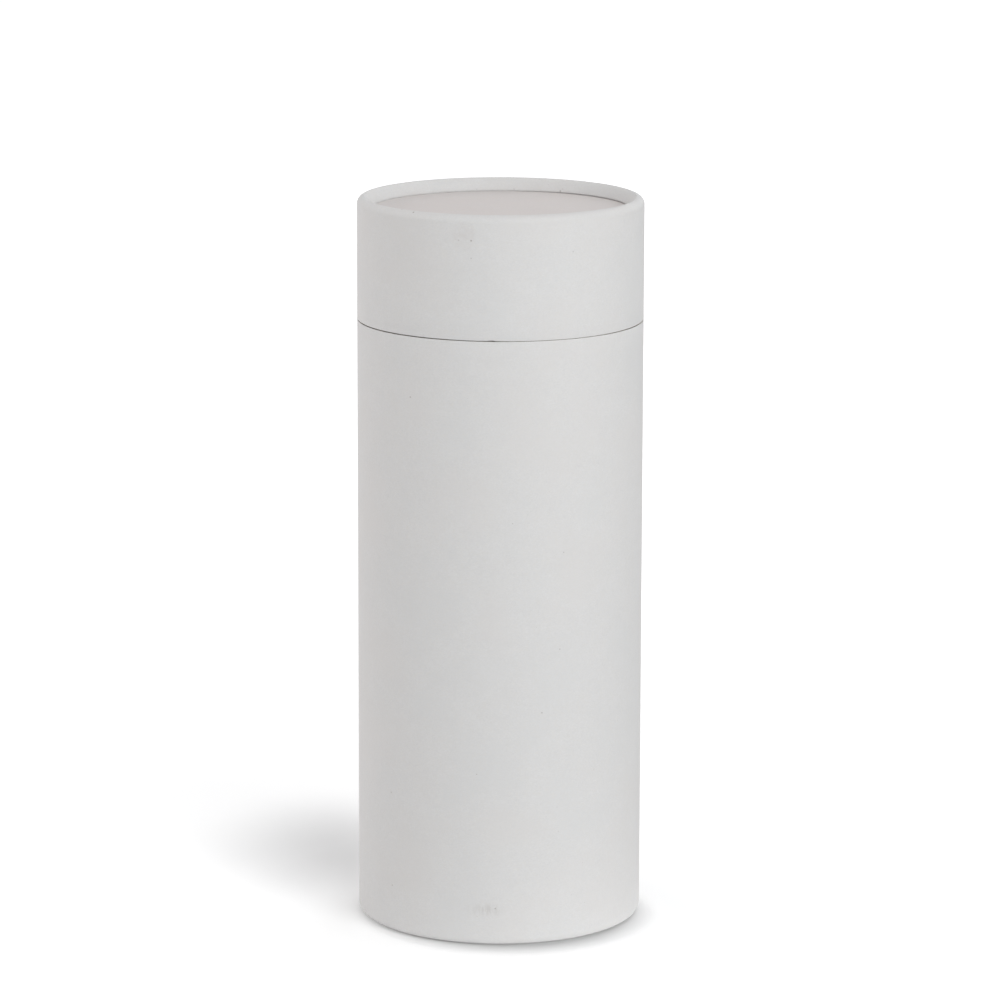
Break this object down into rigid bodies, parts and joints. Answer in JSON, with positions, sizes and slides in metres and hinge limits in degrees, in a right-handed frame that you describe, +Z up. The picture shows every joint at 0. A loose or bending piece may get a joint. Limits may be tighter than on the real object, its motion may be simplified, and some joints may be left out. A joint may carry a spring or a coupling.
{
  "type": "gift tube",
  "caption": "Round paperboard gift tube with rolled rims around recessed end discs and a lift-off lid that sits flush over an inner neck.",
  "frame": {"origin": "middle of the base, on the surface that the tube stands on", "axes": "+Z up along the tube's axis, towards the lid; the tube is round, so X and Y are free, and -Y faces the picture's camera"},
  "size_m": [0.1, 0.1, 0.256],
  "materials": {
    "wrap_paper": "matte",
    "lining_paper": "matte",
    "board": "matte"
  },
  "bodies": {
    "body": {"body_wall": "board", "body_wrap": "wrap_paper", "base_disc": "board", "base_disc_facing": "wrap_paper", "base_disc_lining": "lining_paper", "inner_tube": "board", "inner_tube_sleeve": "lining_paper", "inner_tube_lining": "lining_paper"},
    "lid": {"lid_wall": "board", "lid_wrap": "wrap_paper", "lid_lining": "lining_paper", "lid_disc": "board", "lid_disc_facing": "wrap_paper", "lid_disc_lining": "lining_paper"}
  },
  "joints": [
    {"name": "lid_lift", "type": "slide", "parent": "body", "child": "lid", "axis": [0, 0, 1], "range_m": [0, 0.06]}
  ]
}
